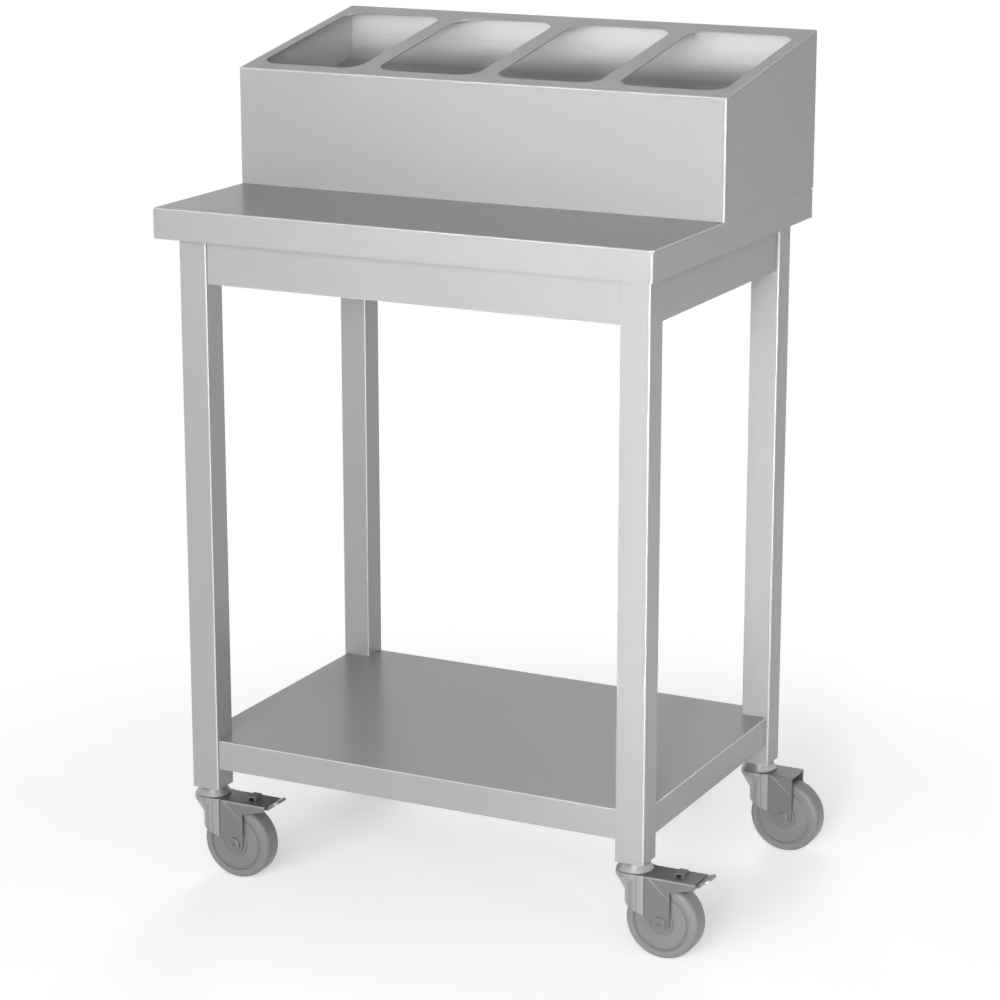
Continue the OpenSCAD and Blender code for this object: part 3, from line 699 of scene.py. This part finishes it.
def ball_rows_tree():
    """A ring of balls round each point of the mesh it is given."""
    tree, start, end = node_tree("ball_rows", [
        ("Ring radius", "NodeSocketFloat"), ("Ball radius", "NodeSocketFloat"),
        ("Balls", "NodeSocketInt"), ("Material", "NodeSocketMaterial")])
    ring = tree.nodes.new("GeometryNodeMeshCircle")
    rows = tree.nodes.new("GeometryNodeInstanceOnPoints")
    spots = tree.nodes.new("GeometryNodeRealizeInstances")
    ball = add(tree, "GeometryNodeMeshUVSphere", in_Segments=24, in_Rings=12)
    balls = tree.nodes.new("GeometryNodeInstanceOnPoints")
    tree.links.new(start.outputs["Balls"], ring.inputs["Vertices"])
    tree.links.new(start.outputs["Ring radius"], ring.inputs["Radius"])
    tree.links.new(start.outputs["Ball radius"], ball.inputs["Radius"])
    tree.links.new(start.outputs["Geometry"], rows.inputs["Points"])
    tree.links.new(ring.outputs["Mesh"], rows.inputs["Instance"])
    tree.links.new(rows.outputs[0], spots.inputs[0])
    tree.links.new(spots.outputs[0], balls.inputs["Points"])
    tree.links.new(ball.outputs["Mesh"], balls.inputs["Instance"])
    close_tree(tree, start, end, balls.outputs[0])
    return tree


def fastener_tree():
    """One copy of a screw or nut at each point of the mesh it is given."""
    tree, start, end = node_tree("fastener_spots", [
        ("Form", "NodeSocketObject"), ("Material", "NodeSocketMaterial")])
    form = tree.nodes.new("GeometryNodeObjectInfo")
    copies = tree.nodes.new("GeometryNodeInstanceOnPoints")
    tree.links.new(start.outputs["Form"], form.inputs["Object"])
    tree.links.new(start.outputs["Geometry"], copies.inputs["Points"])
    tree.links.new(form.outputs["Geometry"], copies.inputs["Instance"])
    close_tree(tree, start, end, copies.outputs[0])
    return tree


def grown_piece(name, spots, tree, values, slot, body, *nodes):
    """Plain mesh that a tree grows on the given spots, riding on its body."""
    mesh = bpy.data.meshes.new(name + "_spots")
    mesh.from_pydata([tuple(spot) for spot in spots], [], [])
    seed = bpy.data.objects.new(name + "_spots", mesh)
    bpy.context.scene.collection.objects.link(seed)
    growth = seed.modifiers.new("growth", "NODES")
    growth.node_group = tree
    for socket in tree.interface.items_tree:
        if socket.in_out == "INPUT" and socket.name in values:
            growth[socket.identifier] = values[socket.name]
    bpy.context.view_layer.update()
    depsgraph = bpy.context.evaluated_depsgraph_get()
    grown = bpy.data.meshes.new_from_object(seed.evaluated_get(depsgraph), depsgraph=depsgraph)
    seed.modifiers.remove(growth)
    bpy.data.objects.remove(seed)
    grown.name = name
    if not grown.polygons:
        raise RuntimeError("nothing grew for " + name)
    piece = bpy.data.objects.new(name, grown)
    bpy.context.scene.collection.objects.link(piece)
    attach(piece, body)
    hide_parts(*nodes)
    return piece


def form_object(name, bm):
    """Form that a tree copies; it is removed once the copies are made."""
    bmesh.ops.recalc_face_normals(bm, faces=bm.faces)
    mark_sharp(bm, 35.0)
    mesh = bpy.data.meshes.new(name)
    bm.to_mesh(mesh)
    bm.free()
    form = bpy.data.objects.new(name, mesh)
    bpy.context.scene.collection.objects.link(form)
    return form


# Pieces

class TROLLEY_OT_sheets(bpy.types.Operator):
    """Gives every sheet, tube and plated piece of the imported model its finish"""

    bl_idname = "trolley.sheets"
    bl_label = "Finish the sheet metal"

    def execute(self, context):
        sheet, side, tube = sheet_steel(), side_steel(), tube_steel()
        zinc = zinc_plate()
        for name, node in frame["nodes"].items():
            if name.startswith("leg_") and name != "leg_plugs":
                material = tube
            elif name in ("apron_left", "apron_right"):
                material = side
            elif name in ("housing_rear", "housing_tray"):
                material = shaded_inner_steel()
            elif name.startswith(("worktop", "apron", "shelf", "housing_shell")):
                material = sheet
            elif name.startswith("fork"):
                material = zinc_fork_nose_highlight()
            else:
                material = zinc
            node.data.materials.clear()
            node.data.materials.append(material)
        self.mill_and_light_inner_walls(frame["nodes"]["housing_shell"])
        self.grind_back(frame["nodes"]["housing_rear"], sheet)
        return {"FINISHED"}

    def grind_back(self, wall, sheet):
        """The housing's rear wall has the ground finish on its outside."""
        wall.data.materials.append(sheet)
        outer_zone = 0.5 * MM
        outside = max(vertex.co.y for vertex in wall.data.vertices) - outer_zone
        for face in wall.data.polygons:
            if face.center.y > outside:
                face.material_index = 1

    def mill_and_light_inner_walls(self, shell):
        """The housing's end walls get a dull mill finish on the inside, in a paler colour that paints light
        into their shade.
        """
        shell.data.materials.append(lit_inner_wall_steel())
        wall_zone = 5 * MM
        wall_x = max(abs(vertex.co.x) for vertex in shell.data.vertices) - wall_zone
        for face in shell.data.polygons:
            across = abs(face.normal.x) > 0.9
            inward = face.normal.x * face.center.x < 0
            if across and inward and abs(face.center.x) > wall_x:
                face.material_index = 1


class TROLLEY_OT_wheels(bpy.types.Operator):
    """Turns the tyres and wheel discs with rounded shoulders, rim groove and hub"""

    bl_idname = "trolley.wheels"
    bl_label = "Build the wheels"

    def execute(self, context):
        sizes = piece_settings()
        tyre, disc = self.tyre_outline(sizes), self.disc_outline(sizes)
        for corner in CORNERS:
            centre = axle_centre(corner)
            mesh_object("tread_" + corner, lathe(tyre, centre, WHEEL_SEGMENTS), tyre_rubber(),
                        "tyre_rubber", "wheel_" + corner, "tyre_" + corner)
            mesh_object("disc_" + corner, lathe(disc, centre, WHEEL_SEGMENTS), wheel_plastic(),
                        "wheel_plastic", "wheel_" + corner, "wheel_core_" + corner)
        return {"FINISHED"}

    def tyre_outline(self, sizes):
        """Section of the tyre, as (radius, distance along the axle)."""
        radius, half, rim = sizes.wheel_radius, sizes.tyre_half, sizes.rim_radius
        corners = [(rim, -half), (radius, -half), (radius, half), (rim, half)]
        radii = [sizes.tyre_lip, sizes.shoulder, sizes.shoulder, sizes.tyre_lip]
        return rounded(corners, radii, steps=10)

    def disc_outline(self, sizes):
        """Section of the disc with its hub and ring groove, the same on both sides."""
        bore, hub, hub_face = sizes.bore_radius, sizes.hub_radius, sizes.hub_half
        rim, face = sizes.rim_radius, sizes.disc_half
        groove_out = rim - sizes.groove_inset
        groove_in = groove_out - sizes.groove_width
        groove_low = face - sizes.groove_depth
        one_side = [
            (bore, hub_face), (hub, hub_face), (hub, face), (groove_in, face), (groove_in, groove_low),
            (groove_out, groove_low), (groove_out, face), (rim, face),
        ]
        roundings = [0.4, 1.4, 1.2, 0.3, 1.2, 1.2, 0.3, 0.6]
        radii = [rounding * MM for rounding in roundings + roundings[::-1]]
        return rounded(one_side + [(r, -a) for r, a in reversed(one_side)], radii, steps=4)


class TROLLEY_OT_balls(bpy.types.Operator):
    """Grows the two rows of balls in each swivel"""

    bl_idname = "trolley.balls"
    bl_label = "Grow the swivel balls"

    def execute(self, context):
        sizes = piece_settings()
        tree = ball_rows_tree()
        values = {"Ring radius": sizes.ball_ring, "Ball radius": sizes.ball_radius,
                  "Balls": sizes.ball_count, "Material": zinc_plate()}
        for corner, (sx, sy) in CORNERS.items():
            low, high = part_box("balls_" + corner)
            heights = (low[2] + sizes.ball_radius, high[2] - sizes.ball_radius)
            rows = [(sx * LEG_X, sy * LEG_Y, z) for z in heights]
            grown_piece("swivel_balls_" + corner, rows, tree, values, "zinc_hardware",
                        body_of("balls_" + corner), "balls_" + corner)
        return {"FINISHED"}


class TROLLEY_OT_fasteners(bpy.types.Operator):
    """Sets the housing's screws and nuts, each grown from one form"""

    bl_idname = "trolley.fasteners"
    bl_label = "Set the screws and nuts"

    def execute(self, context):
        tree = fastener_tree()
        places = [(x, FRONT_SCREWS_Y) for x in FRONT_SCREWS_X]
        places += [(x, y) for x in SIDE_SCREWS_X for y in SIDE_SCREWS_Y]
        turned = lathe(self.screw_outline(), Vector(), SCREW_SEGMENTS, upright=True)
        screw = form_object("screw_form", turned)
        nut = form_object("nut_form", self.nut_mesh())
        rows = (("screws", screw, SCREW_SEAT_Z, "housing_screws"), ("nuts", nut, NUT_TOP_Z, "housing_nuts"))
        for name, form, z, node in rows:
            spots = [(x * MM, y * MM, z * MM) for x, y in places]
            grown_piece(name, spots, tree, {"Form": form, "Material": zinc_plate()}, "zinc_hardware",
                        body_of(node), node)
        bpy.data.objects.remove(screw)
        bpy.data.objects.remove(nut)
        return {"FINISHED"}

    def screw_outline(self):
        """Pan head with a round socket, and a shank with a chamfered end; Z 0 lies under the head."""
        points = [
            (0.00001, 1.4), (1.3, 1.4), (1.5, 2.9), (2.2, 3.0), (3.4, 2.7), (4.2, 1.9), (4.5, 0.9),
            (4.5, 0.0), (2.5, 0.0), (2.5, -7.4), (2.0, -8.0), (0.00001, -8.0),
        ]
        return [(r * MM, a * MM) for r, a in points]

    def nut_mesh(self):
        """Hexagon nut with chamfered corners, its top at Z 0."""
        levels = [(2.5, 0.0), (4.1, 0.0), (4.6, -0.4), (4.6, -3.6), (4.1, -4.0), (2.5, -4.0)]
        return lathe([(r * MM, a * MM) for r, a in levels], Vector(), NUT_SIDES, upright=True)


class TROLLEY_OT_stage(bpy.types.Operator):
    """Sets up the floor, the soft lamps, the world and the camera"""

    bl_idname = "trolley.stage"
    bl_label = "Set up the studio"

    def execute(self, context):
        stage = stage_settings()
        scene = context.scene
        scene.view_settings.view_transform = "Standard"
        self.floor(scene, stage)
        self.white_world(scene, stage)
        self.lamp("front_lamp", place=(0.5, -6.0, 1.9), target=(0.0, 0.0, 0.7), size=(4.6, 1.4),
                  power=stage.key_power, mirrored=False)
        self.lamp("upper_lamp", place=(0.6, -2.6, 1.12), target=(0.12, 0.0, 1.07), size=(0.6, 0.2),
                  power=0.85, spread=26.0)
        self.lamp("legs_lamp", place=(1.1, -3.0, 0.9), target=(0.37, 0.17, 0.42), size=(0.3, 0.6),
                  power=0.75, spread=16.0)
        self.lamp("back_lamp", place=(-1.2, 2.6, 2.6), target=(0.0, 0.0, 0.6), size=(1.2, 1.2),
                  power=18.0, mirrored=False)
        self.lamp("behind_lamp", place=(-0.6, 3.6, 0.9), target=(0.0, 0.0, 0.6), size=(3.0, 1.0),
                  power=32.0, mirrored=False)
        self.lamp("near_lamp", place=(1.2, -2.7, 1.55), target=(0.1, 0.0, 0.8), size=(1.6, 0.8), power=20.0)
        self.lamp("right_strip", place=(2.3, -1.1, 0.45), target=(0.3, 0.0, 0.55), size=(0.1, 0.8),
                  power=7.0)
        self.camera(scene, stage)
        return {"FINISHED"}

    def floor(self, scene, stage):
        """Wide plain floor that keeps the trolley's shadow."""
        bm = bmesh.new()
        bmesh.ops.create_grid(bm, x_segments=8, y_segments=8, size=30.0)
        mesh = bpy.data.meshes.new("studio_floor")
        bm.to_mesh(mesh)
        bm.free()
        floor = bpy.data.objects.new("studio_floor", mesh)
        scene.collection.objects.link(floor)
        paint = bpy.data.materials.new("studio_floor")
        paint.use_nodes = True
        shader = paint.node_tree.nodes["Principled BSDF"]
        shader.inputs["Base Color"].default_value = (*stage.floor_colour, 1.0)
        shader.inputs["Roughness"].default_value = 0.9
        shader.inputs["Specular IOR Level"].default_value = 0.0
        self.fade_far_floor(paint.node_tree, shader, stage)
        mesh.materials.append(paint)

    def camera(self, scene, stage):
        """Camera at the photograph's viewing angle."""
        camera = bpy.data.objects.new("photo_camera", bpy.data.cameras.new("photo_camera"))
        camera.data.lens = stage.lens
        camera.data.sensor_width = 36.0
        camera.data.clip_end = 200.0
        camera.location = CAMERA_PLACE
        camera.rotation_euler = (math.radians(CAMERA_TILT), 0.0, math.radians(CAMERA_TURN))
        scene.collection.objects.link(camera)
        scene.camera = camera

    def fade_far_floor(self, tree, shader, stage):
        """Away from the trolley the floor turns into the white background, for camera and glossy rays."""
        place = tree.nodes.new("ShaderNodeTexCoord")
        reach = add(tree, "ShaderNodeVectorMath", operation="LENGTH")
        tree.links.new(place.outputs["Object"], reach.inputs[0])
        far = eased(tree, reach.outputs["Value"], stage.fade_start, stage.fade_end)
        seen = self.seen_rays(tree)
        mask = maths(tree, "MULTIPLY", far, seen)
        glow = tree.nodes.new("ShaderNodeEmission")
        lift = tree.nodes.new("ShaderNodeEmission")
        tree.links.new(maths(tree, "MULTIPLY", seen, stage.floor_lift), lift.inputs["Strength"])
        near = tree.nodes.new("ShaderNodeAddShader")
        tree.links.new(shader.outputs[0], near.inputs[0])
        tree.links.new(lift.outputs[0], near.inputs[1])
        mix = tree.nodes.new("ShaderNodeMixShader")
        tree.links.new(mask, mix.inputs["Fac"])
        tree.links.new(near.outputs[0], mix.inputs[1])
        tree.links.new(glow.outputs[0], mix.inputs[2])
        tree.links.new(mix.outputs[0], tree.nodes["Material Output"].inputs["Surface"])

    def seen_rays(self, tree):
        """One for camera, glossy and transmission rays, none for the rest."""
        path = tree.nodes.new("ShaderNodeLightPath")
        both = maths(tree, "ADD", path.outputs["Is Camera Ray"], path.outputs["Is Glossy Ray"])
        return maths(tree, "ADD", both, path.outputs["Is Transmission Ray"], clamp=True)

    def white_world(self, scene, stage):
        """White to the camera and in reflections, and a plain soft fill for the rest."""
        world = bpy.data.worlds.new("studio_world")
        world.use_nodes = True
        tree = world.node_tree
        back = tree.nodes["Background"]
        back.inputs["Color"].default_value = (1.0, 1.0, 1.0, 1.0)
        lift = maths(tree, "MULTIPLY", self.seen_rays(tree), 1.0 - stage.fill)
        tree.links.new(maths(tree, "ADD", lift, stage.fill), back.inputs["Strength"])
        scene.world = world

    def lamp(self, name, place, target, size, power, spread=180.0, mirrored=True):
        """Soft rectangular lamp turned to its target, with its power in watts and its spread in degrees."""
        light = bpy.data.lights.new(name, "AREA")
        light.shape = "RECTANGLE"
        light.size, light.size_y = size
        light.energy = power
        light.spread = math.radians(spread)
        lamp = bpy.data.objects.new(name, light)
        lamp.location = place
        lamp.rotation_euler = (Vector(target) - Vector(place)).to_track_quat("-Z", "Y").to_euler()
        lamp.visible_glossy = mirrored
        bpy.context.scene.collection.objects.link(lamp)


class TROLLEY_PT_panel(bpy.types.Panel):
    """Lists the steps and their settings"""

    bl_idname = "TROLLEY_PT_panel"
    bl_label = "Cutlery trolley"
    bl_space_type = "VIEW_3D"
    bl_region_type = "UI"
    bl_category = "Trolley"

    def draw(self, context):
        for step in STEPS:
            self.layout.operator(step.bl_idname)
        for group in (finish_settings(), piece_settings(), stage_settings()):
            column = self.layout.column()
            for name in group.__annotations__:
                column.prop(group, name)


STEPS = (
    TROLLEY_OT_sheets, TROLLEY_OT_wheels, TROLLEY_OT_balls, TROLLEY_OT_fasteners, TROLLEY_OT_stage,
)
CLASSES = (FinishSettings, PieceSettings, StageSettings, *STEPS, TROLLEY_PT_panel)


def register():
    """Adds the settings, the steps and the panel."""
    for cls in CLASSES:
        bpy.utils.register_class(cls)
    bpy.types.Scene.trolley_finish = PointerProperty(type=FinishSettings)
    bpy.types.Scene.trolley_pieces = PointerProperty(type=PieceSettings)
    bpy.types.Scene.trolley_stage = PointerProperty(type=StageSettings)


def unregister():
    """Takes away what register adds."""
    del bpy.types.Scene.trolley_stage
    del bpy.types.Scene.trolley_pieces
    del bpy.types.Scene.trolley_finish
    for cls in reversed(CLASSES):
        bpy.utils.unregister_class(cls)


def main():
    """Runs every step in order."""
    register()
    bpy.ops.trolley.sheets()
    bpy.ops.trolley.wheels()
    bpy.ops.trolley.balls()
    bpy.ops.trolley.fasteners()
    bpy.ops.trolley.stage()


if __name__ == "__main__":
    main()
